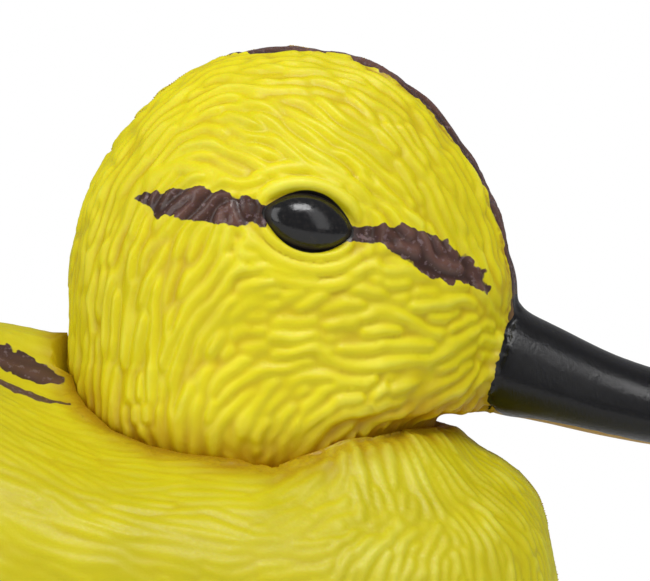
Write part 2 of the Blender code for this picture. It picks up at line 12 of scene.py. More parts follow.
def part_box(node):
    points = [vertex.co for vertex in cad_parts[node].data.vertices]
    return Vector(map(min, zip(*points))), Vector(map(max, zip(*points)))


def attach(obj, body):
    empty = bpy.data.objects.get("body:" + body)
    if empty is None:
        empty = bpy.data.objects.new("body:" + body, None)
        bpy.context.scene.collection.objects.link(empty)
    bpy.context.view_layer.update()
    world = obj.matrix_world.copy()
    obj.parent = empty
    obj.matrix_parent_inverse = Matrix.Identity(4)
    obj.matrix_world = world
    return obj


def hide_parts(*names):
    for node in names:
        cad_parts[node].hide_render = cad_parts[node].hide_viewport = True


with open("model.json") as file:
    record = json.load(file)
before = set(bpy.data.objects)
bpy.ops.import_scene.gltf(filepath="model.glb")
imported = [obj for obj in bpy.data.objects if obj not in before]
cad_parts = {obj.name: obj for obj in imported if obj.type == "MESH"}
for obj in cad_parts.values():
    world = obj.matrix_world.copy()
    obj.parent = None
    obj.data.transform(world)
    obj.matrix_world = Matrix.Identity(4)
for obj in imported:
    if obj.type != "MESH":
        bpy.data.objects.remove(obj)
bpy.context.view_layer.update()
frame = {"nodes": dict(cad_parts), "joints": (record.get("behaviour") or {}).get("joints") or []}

# ---------------------------------------------------------------- head with its bill
# A hollow shell of soft yellow plastic, head and bill in one moulding, with thick feather locks carved
# into the mould. The bill, crown and eye stripes are brushed on by hand afterwards. It turns in the
# body's neck cup.
MM = 0.001
SOLIDS = frame["nodes"]
SWIVEL = Vector(frame["joints"][0]["pos_m"])
NECK_X = SWIVEL.x / MM
SEAM_Z = SWIVEL.z / MM
HEAD_GRAIN = 0.36  # mesh step, in millimetres
EYE_LENGTH, EYE_HEIGHT, EYE_DEPTH = 12.0, 7.6, 6.4
EYE_SHOWN = (5.2, 3.3)  # half the oval that stands out of the skin
LID_PINCH = 0.36  # how much narrower its corners are than a plain oval's
EYE_PITCH = math.radians(12)
BALL_TOP = SEAM_Z + 1.0  # under this level the head turns inside the neck cup
BILL_EDGE = ((60.0, 51.0), (66.4, 51.5), (67.9, 50.9), (70.0, 51.7), (71.1, 51.8), (73.8, 52.8),
             (77.2, 53.8), (78.6, 54.5), (81.0, 54.4), (82.6, 55.6), (86.0, 60.0))  # level, reach
CREASE = ((-25.4, 1.4), (-19.9, -4.0), (-10.2, -7.2), (-4.9, -8.3), (5.6, -8.5), (11.0, -5.5), (19.8, -2.9),
          (25.1, -1.8))  # reach ahead of the neck and level of the crease between head and body
BILL_LINE, BILL_FALL = 65.9, 0.219  # level of its underside at the root, and its fall towards the tip
YELLOW = (0.83, 0.735, 0.004)
# Painted highlight: the paler yellow given to the tops of the strands.
RIDGE_HIGHLIGHT_YELLOW = (0.86, 0.80, 0.05)
# Painted shade: the ochre laid along the crease between head and body.
CREASE_SHADE_OCHRE = (0.50, 0.27, 0.0)
BROWN = (0.150, 0.072, 0.056)
BILL_BLACK = (0.003, 0.003, 0.004)

# Where feathers lie on the head: place ahead of and above the neck seam, and the way they run there.
HEAD_LAY = (
    (23.7, 34.8, -0.55, 0.83), (16.9, 40.2, -0.70, 0.70), (27.8, 23.9, -0.45, 0.90),
    (33.3, 19.8, -0.30, 0.95), (-3.5, 37.5, -0.87, 0.50), (2.3, 32.0, -0.70, 0.70),
    (10.0, 36.0, -0.66, 0.75), (3.3, 47.0, -1.00, 0.05), (11.5, 45.0, -0.92, 0.38),
    (-9.7, 40.2, -0.80, -0.60), (-14.5, 34.8, -0.62, -0.78), (-19.9, 21.1, -0.25, -0.97),
    (-24.0, 10.2, 0.02, -1.00), (-7.6, 19.8, -0.62, -0.78), (-14.0, 14.0, -0.35, -0.94),
    (6.0, 15.7, -0.98, -0.20), (19.6, 14.3, -1.00, 0.00), (26.5, 8.9, -1.00, -0.10),
    (25.0, 15.0, -1.00, 0.15), (11.3, 6.6, -1.00, 0.12), (4.0, 8.7, -0.98, -0.10),
    (-2.3, 4.5, -0.70, -0.70), (-8.0, 2.9, -0.40, -0.92), (-12.3, 6.5, -0.42, -0.90),
    (-16.0, -1.4, 0.02, -1.00), (-22.2, 10.8, 0.02, -1.00), (4.0, -2.3, -0.45, -0.90),
    (7.1, 1.9, -0.80, -0.58), (16.6, 2.9, -0.95, -0.25), (19.6, -1.0, -0.90, -0.42),
    (-2.9, -5.5, -0.05, -1.00), (-12.0, -5.0, -0.02, -1.00),
)


def closing_cup(bm, centre, direction, radius, depth, wall=1.2):
    """A small cup set behind an opening, so that the skin wrapped round the shell has no way in."""
    turn = Vector((0, 0, 1)).rotation_difference(Vector(direction)).to_matrix()
    ring = [(radius, 0), (radius, depth), (0, depth), (0, depth + wall), (radius + wall, depth + wall)]
    ring.append((radius + wall, 0))
    steps = 24
    rows = []
    for r, h in ring:
        row = []
        for k in range(steps):
            angle = 2 * math.pi * k / steps
            spot = turn @ Vector((r * math.cos(angle), r * math.sin(angle), h)) + Vector(centre)
            row.append(bm.verts.new(spot * MM))
        rows.append(row)
    for i, row in enumerate(rows):
        other = rows[(i + 1) % len(rows)]
        for k in range(steps):
            n = (k + 1) % steps
            bm.faces.new((row[k], row[n], other[n], other[k]))


def filling_disc(bm, centre, along, up, out, length, height, low, high):
    """An oval disc that fills a socket, from low to high along the way out."""
    turn = Matrix((along * length / 2, up * height / 2, out * (high - low))).transposed().to_4x4()
    turn = Matrix.Translation(centre + out * (low + high) / 2) @ turn
    made = bmesh.ops.create_cone(bm, cap_ends=True, segments=48, radius1=1, radius2=1, depth=1)
    bmesh.ops.transform(bm, matrix=Matrix.Scale(MM, 4) @ turn, verts=made["verts"])


def wrapped_skin(node, grain, cups, discs=()):
    """The outer skin of a hollow shell as one even mesh: its points and faces, in millimetres."""
    bm = bmesh.new()
    bm.from_mesh(SOLIDS[node].data)
    bmesh.ops.remove_doubles(bm, verts=bm.verts, dist=1e-6)
    for cup in cups:
        closing_cup(bm, *cup)
    for disc in discs:
        filling_disc(bm, *disc)
    mesh = bpy.data.meshes.new(node + "_wrap")
    bm.to_mesh(mesh)
    bm.free()
    wrap = bpy.data.objects.new(node + "_wrap", mesh)
    bpy.context.scene.collection.objects.link(wrap)
    remesh = wrap.modifiers.new("even_skin", "REMESH")
    remesh.mode = "VOXEL"
    remesh.voxel_size = grain * MM
    remesh.adaptivity = 0
    graph = bpy.context.evaluated_depsgraph_get()
    skin = bpy.data.meshes.new_from_object(wrap.evaluated_get(graph))
    bpy.data.objects.remove(wrap)
    points = np.zeros(len(skin.vertices) * 3)
    skin.vertices.foreach_get("co", points)
    corners = np.zeros(len(skin.loops), int)
    skin.loops.foreach_get("vertex_index", corners)
    starts = np.zeros(len(skin.polygons), int)
    skin.polygons.foreach_get("loop_start", starts)
    totals = np.zeros(len(skin.polygons), int)
    skin.polygons.foreach_get("loop_total", totals)
    fours = starts[totals == 4]
    threes = starts[totals == 3]
    quads = corners[fours[:, None] + np.arange(4)]
    tris = corners[threes[:, None] + np.arange(3)]
    bpy.data.meshes.remove(skin)
    return points.reshape(-1, 3) / MM, quads, tris


def neighbour_pairs(quads, tris):
    """Every edge of a mesh, once each way."""
    ends = [quads[:, [k, (k + 1) % 4]] for k in range(4)] + [tris[:, [k, (k + 1) % 3]] for k in range(3)]
    ends = np.sort(np.concatenate(ends), axis=1)
    ends = np.unique(ends, axis=0)
    return np.concatenate([ends, ends[:, ::-1]])


def eased(values, pairs, rounds, share=0.5):
    """Values on a mesh drawn towards the mean of their neighbours, round by round."""
    values = np.array(values, float)
    flat = values.reshape(len(values), -1)
    count = np.bincount(pairs[:, 0], minlength=len(flat))
    for _ in range(rounds):
        for k in range(flat.shape[1]):
            total = np.bincount(pairs[:, 0], weights=flat[pairs[:, 1], k], minlength=len(flat))
            flat[:, k] += share * (total / np.maximum(count, 1) - flat[:, k])
    return flat.reshape(values.shape)


def out_of_skin(points, quads, tris):
    """The direction out of the skin at each point."""
    normals = np.zeros_like(points)
    for faces, a, b in ((quads, (0, 2), (1, 3)), (tris, (0, 1), (0, 2))):
        if not len(faces):
            continue
        one = points[faces[:, a[1]]] - points[faces[:, a[0]]]
        two = points[faces[:, b[1]]] - points[faces[:, b[0]]]
        cross = np.cross(one, two)
        for corner in faces.T:
            for axis in range(3):
                normals[:, axis] += np.bincount(corner, weights=cross[:, axis], minlength=len(points))
    return unit(normals)


def unit(vectors):
    return vectors / np.maximum(np.linalg.norm(vectors, axis=-1, keepdims=True), 1e-9)


def ease_in(x, start, end):
    """0 before start, 1 after end and a soft step between."""
    t = np.clip((x - start) / (end - start), 0, 1)
    return t * t * (3 - 2 * t)


def lie_of_feathers(points, normals, lay, rings=()):
    """The way that feathers run at each point, along the skin, from the placed guides.
    Each ring is an eye, which the feathers close by go round."""
    guides = np.array(lay, float)
    way = unit(guides[:, 2:])
    flat = np.stack([points[:, 0] - NECK_X, points[:, 2] - SEAM_Z], 1)
    blend = np.zeros((len(points), 2))
    for spot, direction in zip(guides[:, :2], way):
        near = ((flat - spot) ** 2).sum(1) + 2.0
        blend += (near ** -2.2)[:, None] * direction
    blend = unit(blend)
    run = np.stack([blend[:, 0], np.zeros(len(points)), blend[:, 1]], 1)
    for centre, along, up, out in rings:
        gap = points - centre
        u, w = gap @ along / 1.5, gap @ up
        share = np.exp(-((np.hypot(u, w) / 7.5) ** 4)) * (gap @ out > -6)
        turn = (-w)[:, None] * along * 1.5 + u[:, None] * up
        turn = unit(turn) * np.sign((turn * run).sum(1) + 1e-6)[:, None]
        run = run * (1 - share)[:, None] + turn * share[:, None]
    run = run - normals * (run * normals).sum(1)[:, None]
    weak = np.linalg.norm(run, axis=1) < 0.15
    fall = 0.3 * np.array((-0.3, 0, -1))  # where the guides point into the skin, feathers lie down and back
    run[weak] += fall - normals[weak] * (normals[weak] @ fall)[:, None]
    return unit(run)


def spread_seeds(points, runs, length, width, rng):
    """Places for locks, no two closer than length along the lie and width across it."""
    order = rng.permutation(len(points))[: int(len(points) * 0.6)]
    cells = {}
    kept = []
    step = length
    for i in order:
        p, t = points[i], runs[i]
        home = tuple((p // step).astype(int))
        near = [j for dx in (-1, 0, 1) for dy in (-1, 0, 1) for dz in (-1, 0, 1)
                for j in cells.get((home[0] + dx, home[1] + dy, home[2] + dz), ())]
        if near:
            gap = points[near] - p
            a = gap @ t
            b2 = np.maximum((gap * gap).sum(1) - a * a, 0)
            if ((a / length) ** 2 + b2 / width ** 2).min() < 1:
                continue
        kept.append(i)
        cells.setdefault(home, []).append(i)
    return np.array(kept)


def carved_locks(points, normals, runs, run_at, size, rng, reach=20):
    """The height over the skin of round strands that run side by side along the lie, from 0 to about 1.
    They wander, join and end between their neighbours, as strands cut with a ball tool do."""
    length, pitch = size
    seeds = spread_seeds(points, runs, length * 0.42, pitch * 1.15, rng)
    place, n = points[seeds], normals[seeds]
    slant = rng.normal(0, 0.17, len(seeds))[:, None]
    t = unit(runs[seeds] + slant * np.cross(n, runs[seeds]))
    b = np.cross(n, t)
    bend = ((run_at(place + t * 2, n) - run_at(place - t * 2, n)) * b).sum(1) / 4
    tall = rng.uniform(0.35, 1.05, len(seeds))
    turn = 2 * math.pi / pitch * rng.uniform(0.82, 1.15, len(seeds))
    lag = rng.uniform(0, 2 * math.pi, len(seeds))
    tree = kdtree.KDTree(len(seeds))
    for k, p in enumerate(place):
        tree.insert(p, k)
    tree.balance()
    reach = min(reach, len(seeds))
    near = np.array([[hit[1] for hit in tree.find_n(p, reach)] for p in points])
    wave, total = np.zeros(len(points), complex), np.full(len(points), 1e-6)
    high, weight = np.zeros(len(points)), np.full(len(points), 1e-9)
    for k in range(reach):
        s = near[:, k]
        gap = points - place[s]
        along = (gap * t[s]).sum(1)
        across = (gap * b[s]).sum(1) - bend[s] * along ** 2 / 2
        share = np.exp(-(along / (0.5 * length)) ** 2 - (across / (0.95 * pitch)) ** 2
                       - ((gap * n[s]).sum(1) / 3) ** 2)
        wave += share * np.exp(1j * (turn[s] * across + lag[s]))
        total += share
        high += share ** 2 * tall[s]
        weight += share ** 2
    crest = (0.5 + 0.5 * np.cos(np.angle(wave))) ** 0.62
    whole = ease_in(np.abs(wave) / total, 0.0, 0.45)
    return crest * (0.3 + 0.7 * whole) * high / weight


def path_ridge(flat, path, wide):
    """How high a rolled ridge along a path stands at each flat place, from 0 to 1."""
    path = np.array(path, float)
    lengths = np.concatenate([[0], np.cumsum(np.linalg.norm(np.diff(path, axis=0), axis=1))])
    best = np.full(len(flat), 1e9)
    share = np.zeros(len(flat))
    for k in range(len(path) - 1):
        a, ab = path[k], path[k + 1] - path[k]
        t = np.clip(((flat - a) @ ab) / (ab @ ab), 0, 1)
        d = np.linalg.norm(flat - a - t[:, None] * ab, axis=1)
        closer = d < best
        best[closer] = d[closer]
        share[closer] = ((lengths[k] + t * (lengths[k + 1] - lengths[k])) / lengths[-1])[closer]
    ends = np.clip(np.minimum(share, 1 - share) / 0.18, 0, 1) ** 0.5
    return np.clip(1 - (best / (wide * (0.4 + 0.6 * ends))) ** 2, 0, 1) ** 0.7 * ends


def brushed_mark(flat, path):
    """How far inside a brush mark each flat place is. The mark is a path with a half-width at each point."""
    path = np.array(path, float)
    inside = np.full(len(flat), -1e3)
    for k in range(len(path) - 1):
        a, ab = path[k, :2], path[k + 1, :2] - path[k, :2]
        t = np.clip(((flat - a) @ ab) / (ab @ ab), 0, 1)
        half = path[k, 2] + t * (path[k + 1, 2] - path[k, 2])
        inside = np.maximum(inside, half - np.linalg.norm(flat - a - t[:, None] * ab, axis=1))
    return inside


def thinned(name, points, quads, tris, marks, most, keep=None):
    """A mesh object of these points, thinned to a number of triangles, with its named values."""
    mesh = bpy.data.meshes.new(name)
    mesh.from_pydata(points * MM, [], [*quads.tolist(), *tris.tolist()])
    for mark, values in marks.items():
        mesh.attributes.new(mark, "FLOAT", "POINT").data.foreach_set("value", values.astype(np.float32))
    piece = bpy.data.objects.new(name, mesh)
    bpy.context.scene.collection.objects.link(piece)
    count = 2 * len(quads) + len(tris)
    if count > most:
        thin = piece.modifiers.new("thin", "DECIMATE")
        thin.ratio = most / count
        if keep is not None:
            group = piece.vertex_groups.new(name="keep")
            for level in (0.25, 0.5, 0.75, 1.0):
                chosen = np.nonzero(np.abs(keep - level) <= 0.125)[0].tolist()
                group.add(chosen, level, "REPLACE")
            thin.vertex_group = "keep"
            thin.invert_vertex_group = True
            thin.vertex_group_factor = 1.0
        graph = bpy.context.evaluated_depsgraph_get()
        slim = bpy.data.meshes.new_from_object(piece.evaluated_get(graph))
        piece.modifiers.clear()
        piece.vertex_groups.clear()
        piece.data = slim
        bpy.data.meshes.remove(mesh)
        slim.name = name
        tree = kdtree.KDTree(len(points))
        for k, p in enumerate(points):
            tree.insert(p, k)
        tree.balance()
        for vertex in slim.vertices:  # a corner that the thinning threw off the skin goes back to it
            near, _, gap = tree.find(vertex.co / MM)
            if gap > 0.6:
                vertex.co = near * MM
    piece.data.shade_smooth()
    return piece


def node_of(tree, kind, **values):
    """A shader node with its settings, its set inputs and the outputs that feed it."""
    node = tree.nodes.new("ShaderNode" + kind)
    for name, value in values.items():
        if hasattr(node, name):
            setattr(node, name, value)
            continue
        by_number = name[0] == "i" and name[1:].isdigit()
        socket = node.inputs[int(name[1:]) if by_number else name.replace("_", " ")]
        if isinstance(value, bpy.types.NodeSocket):
            tree.links.new(value, socket)
        elif isinstance(value, tuple) and socket.type == "RGBA":
            socket.default_value = (*value, 1)
        else:
            socket.default_value = value
    return node


def mixed(tree, share, under, over):
    """A colour over another, by a share."""
    return node_of(tree, "Mix", data_type="RGBA", i0=share, i6=under, i7=over).outputs[2]


def mixed_value(tree, share, under, over):
    return node_of(tree, "Mix", data_type="FLOAT", i0=share, i2=under, i3=over).outputs[0]


def sum_of(tree, kind, a, b=0.0):
    return node_of(tree, "Math", operation=kind, i0=a, i1=b).outputs[0]


def ramped(tree, value, low, high, kind="SMOOTHSTEP"):
    return node_of(tree, "MapRange", interpolation_type=kind, i0=value, i1=low, i2=high).outputs[0]


def mark_of(tree, name):
    return node_of(tree, "Attribute", attribute_name=name).outputs["Fac"]


def speckle(tree, place, scale, detail=3.0, rough=0.5):
    return node_of(tree, "TexNoise", Vector=place, Scale=scale, Detail=detail, Roughness=rough).outputs["Fac"]


def ragged(tree, place, scale, reach):
    """How far the edge of a brush mark wanders, out or in."""
    wander = sum_of(tree, "SUBTRACT", speckle(tree, place, scale, 2.0, 0.5), 0.5)
    return sum_of(tree, "MULTIPLY", wander, reach)


def stretched(tree, place, by):
    return node_of(tree, "VectorMath", operation="MULTIPLY", i0=place, i1=by).outputs[0]


def new_finish(name):
    """A material and its node tree, with the object's own place in millimetres and its surface node."""
    finish = bpy.data.materials.new(name)
    finish.use_nodes = True
    tree = finish.node_tree
    surface = tree.nodes["Principled BSDF"]
    spot = tree.nodes.new("ShaderNodeTexCoord").outputs["Object"]
    place = node_of(tree, "VectorMath", operation="SCALE", i0=spot, Scale=1 / MM).outputs[0]
    return finish, tree, surface, place


def painted_plastic(name):
    """Soft yellow plastic with painted shade in the valleys between its strands and a painted highlight on
    their tops, with the hand-brushed brown and black over it.
    """
    finish, tree, surface, place = new_finish(name)
    ridge = mark_of(tree, "ridge")
    crease = mark_of(tree, "crease")
    cloud = speckle(tree, place, 0.12)
    grain = speckle(tree, place, 2.2, 4.0, 0.6)
    # Painted shade and highlight: the valleys between strands are coloured a darker ochre and the tallest
    # ridges a paler yellow.
    base = mixed(tree, ramped(tree, ridge, 0.05, 0.65), (0.64, 0.46, 0.0), YELLOW)
    base = mixed(tree, ramped(tree, ridge, 0.7, 1.1), base, RIDGE_HIGHLIGHT_YELLOW)
    base = mixed(tree, ramped(tree, cloud, 0.35, 0.75), base, (0.74, 0.65, 0.002))
    # Painted shade along the neck crease, strongest in the valleys between strands.
    deep = sum_of(tree, "MULTIPLY", crease, ramped(tree, ridge, 2.0, -0.2))
    base = mixed(tree, deep, base, CREASE_SHADE_OCHRE)
    # Darker brown specks, patchy, right along the crease.
    crease_specks = sum_of(tree, "MULTIPLY", ramped(tree, crease, 0.75, 1.0), ramped(tree, grain, 0.45, 0.6))
    base = mixed(tree, sum_of(tree, "MULTIPLY", crease_specks, 0.2), base, (0.33, 0.17, 0.01))
    rag = sum_of(tree, "ADD", ragged(tree, place, 0.42, 2.6), sum_of(tree, "MULTIPLY", ridge, 0.5))
    brown_in = sum_of(tree, "ADD", mark_of(tree, "brown"), sum_of(tree, "SUBTRACT", rag, 0.25))
    brown_on = ramped(tree, brown_in, -0.05, 0.12)
    # Painted shade: the brown is darkened in the valleys between strands.
    brown = mixed(tree, ramped(tree, ridge, 0.2, 1.0), (0.050, 0.022, 0.016), BROWN)
    brown = mixed(tree, ramped(tree, speckle(tree, place, 1.3), 0.55, 0.7), brown, (0.19, 0.12, 0.12))
    gilt = sum_of(tree, "MULTIPLY", mark_of(tree, "gold"), ramped(tree, speckle(tree, place, 1.1), 0.35, 0.6))
    base = mixed(tree, sum_of(tree, "MULTIPLY", gilt, 0.85), base, (0.42, 0.20, 0.012))
    base = mixed(tree, brown_on, base, brown)
    bill_in = sum_of(tree, "ADD", mark_of(tree, "bill"), ragged(tree, place, 0.5, 2.0))
    bill_on = ramped(tree, bill_in, -0.05, 0.12)
    mist = sum_of(tree, "MULTIPLY", ramped(tree, mark_of(tree, "bill"), -1.6, 0.4), 0.35)
    base = mixed(tree, mist, base, (0.30, 0.20, 0.03))
    base = mixed(tree, bill_on, base, BILL_BLACK)
    base = mixed(tree, ramped(tree, mark_of(tree, "rim"), -0.05, 0.12), base, (0.008, 0.006, 0.005))
    tree.links.new(base, surface.inputs["Base Color"])
    rough = mixed_value(tree, ramped(tree, grain, 0.3, 0.7), 0.40, 0.52)
    rough = mixed_value(tree, brown_on, rough, 0.27)
    worn = ramped(tree, speckle(tree, place, 0.35, 4.0, 0.6), 0.35, 0.7)
    rough = mixed_value(tree, bill_on, rough, mixed_value(tree, worn, 0.12, 0.20))
    tree.links.new(rough, surface.inputs["Roughness"])
    surface.inputs["Specular IOR Level"].default_value = 0.40
    surface.inputs["Subsurface Weight"].default_value = 0.4
    surface.inputs["Subsurface Radius"].default_value = (1.0, 0.7, 0.15)
    surface.inputs["Subsurface Scale"].default_value = 0.8 * MM
    wrinkle = speckle(tree, stretched(tree, place, (3.0, 1.6, 0.7)), 1.5, 5.0, 0.65)
    skin_bump = node_of(tree, "Bump", Strength=0.22, Distance=0.12 * MM, Height=grain)
    bill_bump = node_of(tree, "Bump", Strength=bill_on, Distance=0.075 * MM, Height=wrinkle,
                        Normal=skin_bump.outputs[0])
    tree.links.new(bill_bump.outputs[0], surface.inputs["Normal"])
    return finish


def eye_place(node, side):
    """An eye's centre, the way along it, up it and out of the head, from its bead and shank."""
    points = np.array([v.co for v in SOLIDS[node].data.vertices]) / MM
    inner = points[:, 1] * side
    shank_end = points[inner < inner.min() + 1.2].mean(0)
    far = points[np.linalg.norm(points - shank_end, axis=1) > 5.5]
    out = unit(np.unique(np.round(far, 3), axis=0).mean(0) - shank_end)
    centre = shank_end + out * (((points - shank_end) @ out).max() - EYE_DEPTH / 2)
    forward = np.array((math.cos(EYE_PITCH), 0, -math.sin(EYE_PITCH)))
    along = unit(forward - out * (forward @ out))
    up = np.cross(along, out)
    return centre, along, up * np.sign(up[2]), out


EYES = {"eye_right": eye_place("eye_right", -1), "eye_left": eye_place("eye_left", 1)}

REAR_STRIPE = ((-14.6, 27.9, 0.8), (-12.4, 27.5, 1.6), (-9.0, 27.6, 2.1), (-5.3, 26.9, 2.0),
               (-2.2, 26.4, 1.9), (1.5, 26.0, 1.5))
FRONT_STRIPE = ((12.0, 23.5, 1.1), (16.2, 23.3, 1.2), (19.6, 22.6, 2.0), (23.1, 20.6, 2.6),
                (26.5, 19.0, 2.1), (29.0, 17.6, 1.3), (30.5, 16.3, 0.5))

# Ridges carved round each eye: start and end angle, how far outside the bead along and up, width and height.
EYE_ARCS = (
    (18, 172, 1.9, 1.7, 1.15, 1.15), (30, 160, 4.6, 4.0, 1.1, 0.75), (195, 350, 1.3, 1.2, 0.75, 0.70),
    (200, 345, 3.2, 2.9, 1.0, 0.70), (205, 335, 5.4, 5.0, 1.0, 0.62),
)
CURL = ((-15.1, 28.4), (-13.2, 31.3), (-9.7, 32.6), (-6.2, 31.4), (-4.0, 29.4))  # over the rear stripe
MOST_RELIEF, MEAN_RELIEF = 0.94, 0.81  # of the strands, and how far the skin is set back to hold them
BILL_ROOT = (56.0, 80.8)  # reach and level of the hollow between forehead and bill


def near_spot(x, z, reach, level, spread):
    """1 at a spot of the side view, falling off over a spread."""
    return np.exp(-(np.hypot(x - reach, z - level) / spread) ** 2)


def head_skin():
    """The head's plain skin: points, faces, edges and the way out, with its openings closed."""
    stub_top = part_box("neck_plug")[1].z / MM
    cups = [((NECK_X, 0, stub_top - 3.4), (0, 0, 1), 12.6, 3.6, 2.4)]
    discs = []
    for place in EYES.values():
        centre, along, up, out = (Vector(v) for v in place)
        cups.append((centre - out * 5.0, -out, 1.9, 3.5, 1.2))
        discs.append((centre, along, up, out, EYE_LENGTH + 1.0, EYE_HEIGHT + 1.0, -2.5, 1.35))
    points, quads, tris = wrapped_skin("head_shell", HEAD_GRAIN, cups, discs)
    pairs = neighbour_pairs(quads, tris)
    points = eased(points, pairs, 14)
    root = near_spot(points[:, 0], points[:, 2], *BILL_ROOT, 4.6)
    points += root[:, None] * (eased(points, pairs, 200) - points)
    normals = unit(eased(out_of_skin(points, quads, tris), pairs, 8))
    return points, quads, tris, pairs, normals, root


def eye_relief(points, height):
    """The feathers calmed and ridged round the eyes, and how far outside each bead's oval a place is."""
    eye_rim = np.full(len(points), 9.0)
    for centre, along, up, out in EYES.values():
        gap = points - centre
        near = (gap @ out) > -5
        u, w = gap @ along, gap @ up
        pinch = 1 - LID_PINCH * np.clip(np.abs(u) / EYE_SHOWN[0], 0, 1.1) ** 2.5
        off = (np.hypot(u / EYE_SHOWN[0], w / pinch / EYE_SHOWN[1]) - 1) * (EYE_SHOWN[1] + 0.8)
        off = np.where(near, off, 9)
        eye_rim = np.minimum(eye_rim, off)
        calm = 1 - np.exp(-(np.maximum(off, 0) / 3.2) ** 2)
        height = height * np.where(near, 0.25 + 0.75 * calm, 1)
        for start, end, add_u, add_w, wide, tall in EYE_ARCS:
            angles = np.radians(np.linspace(start, end, 15))
            path = np.stack([(EYE_SHOWN[0] + add_u) * np.cos(angles),
                             (EYE_SHOWN[1] + add_w) * np.sin(angles)], 1)
            ridge = path_ridge(np.stack([u, w], 1), path, wide) * near
            height = np.maximum(height, ridge * tall + 0.12 * near * (ridge > 0))
        height = height * np.where(near, ease_in(off, 0.0, 0.6), 1)
    return height, eye_rim


def head_offset(points, normals, height, bill, root):
    """How far each place of the head's skin moves out, with the carved strands on it."""
    x, z = points[:, 0], points[:, 2]
    upward, downward = np.clip(normals[:, 2], 0, 1), np.clip(-normals[:, 2], 0, 1)
    moved = height - MEAN_RELIEF
    in_cup = 1 - ease_in(z, BALL_TOP - 1, BALL_TOP + 5)
    moved = np.where(in_cup > 0, np.minimum(moved + 0.1, 0.06 + 0.8 * (1 - in_cup)), moved)
    moved *= ease_in(z, SEAM_Z - 11.0, SEAM_Z - 7.5)
    on_bill = ease_in(bill, 0.5, 1.3)
    paint_lip = 0.35 * np.exp(-((bill - 0.2) / 0.7) ** 2) * (1 - root)
    moved = (moved + paint_lip) * (1 - on_bill) + (0.05 + 0.55 * upward) * on_bill
    moved += 0.85 * root * (0.5 - moved)
    moved += 0.6 * near_spot(x, z, 54.6, 83.5, 3.6)  # the forehead just over the bill
    moved += 0.9 * near_spot(x, z, 53.5, 65.8, 4.0) * downward  # the bill's heel
    moved += 0.3 * ease_in(NECK_X - x, 18, 24) * ease_in(z - SEAM_Z, 1.0, 4.0)  # the nape
    return moved


def head_brown(points, flat, bill):
    """How far inside the brushed crown band each place is, and inside any of the brown marks."""
    y = points[:, 1]
    ahead, above = flat.T
    waist = 1 - 0.75 * np.exp(-((ahead - 11.2) / 1.6) ** 2)
    crown = 5.6 * ease_in(ahead, -4.5, 1.0) * waist - np.abs(y)
    crown = np.where((above > 11) & (bill < 2) & (ahead > -4), crown, -5)
    stripes = np.maximum(brushed_mark(flat, REAR_STRIPE), brushed_mark(flat, FRONT_STRIPE))
    stripes = np.where(np.abs(y) > 5, stripes, -5)
    return crown, np.maximum(stripes, crown)


def make_head():
    rng = np.random.default_rng(7)
    points, quads, tris, pairs, normals, root = head_skin()
    rings = list(EYES.values())

    def run_at(p, n):
        return lie_of_feathers(p, n, HEAD_LAY, rings)

    runs = run_at(points, normals)
    strands = carved_locks(points, normals, runs, run_at, (5.4, 2.05), rng)
    clumps = carved_locks(points, normals, runs, run_at, (9.0, 5.2), rng)
    strands = eased(strands, pairs, 3)
    clumps = eased(clumps, pairs, 14)

    x, y, z = points.T
    flat = np.stack([x - NECK_X, z - SEAM_Z], 1)
    bill = x - np.interp(z, *zip(*BILL_EDGE))
    over_line = z - (BILL_LINE - BILL_FALL * (x - 51.5))
    under_bill = 1 - ease_in(over_line, 0.28, 0.50)
    under_bill = np.maximum(under_bill, ease_in(-normals[:, 2], 0.93, 0.98)) * (bill > 0)

    above = flat[:, 1] - np.interp(flat[:, 0], *zip(*CREASE))
    arc = np.arctan2(y, x - NECK_X) * 24
    tips = 0.55 * (np.sin(arc * 2.1 + 1.3) + np.sin(arc * 3.4 + 0.4))  # the strands end unevenly
    height = MOST_RELIEF * strands * ease_in(above - tips, 0.2, 1.8) + 0.50 * clumps * ease_in(above, 0, 4)
    height, eye_rim = eye_relief(points, height)
    height = np.maximum(height, path_ridge(flat, CURL, 1.35) * 0.75 * (np.abs(y) > 6))
    crown, brown = head_brown(points, flat, bill)
    marks = {
        # The relief height also sets the painted valley shade and the painted ridge highlight.
        "ridge": np.clip(height, 0, 1.3),
        "bill": bill * (1 - under_bill) - 1.6 * under_bill,
        "rim": 1.0 - eye_rim,
        "gold": np.clip(1 - np.abs(crown + 0.45) / 0.55, 0, 1) * ease_in(x - NECK_X, 6, 12),
        "brown": brown,
        # Closeness to the crease, from 1 at the crease to 0 higher up: it sets the painted crease shade and
        # the darker specks.
        "crease": 1 - ease_in(above - 0.6 * tips, 0.6, 9.0),
    }
    points = points + normals * head_offset(points, normals, height, bill, root)[:, None]
    head = thinned("head", points, quads, tris, marks, 190000)
    head.data.materials.append(painted_plastic("yellow_plastic_head"))
    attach(head, "head")
    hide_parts("head_shell")


make_head()

# ---------------------------------------------------------------- eyes
# A black glass-bright plastic bead on each side, pressed into its socket by the shank behind it.
# The feathers' lids cover its two corners.


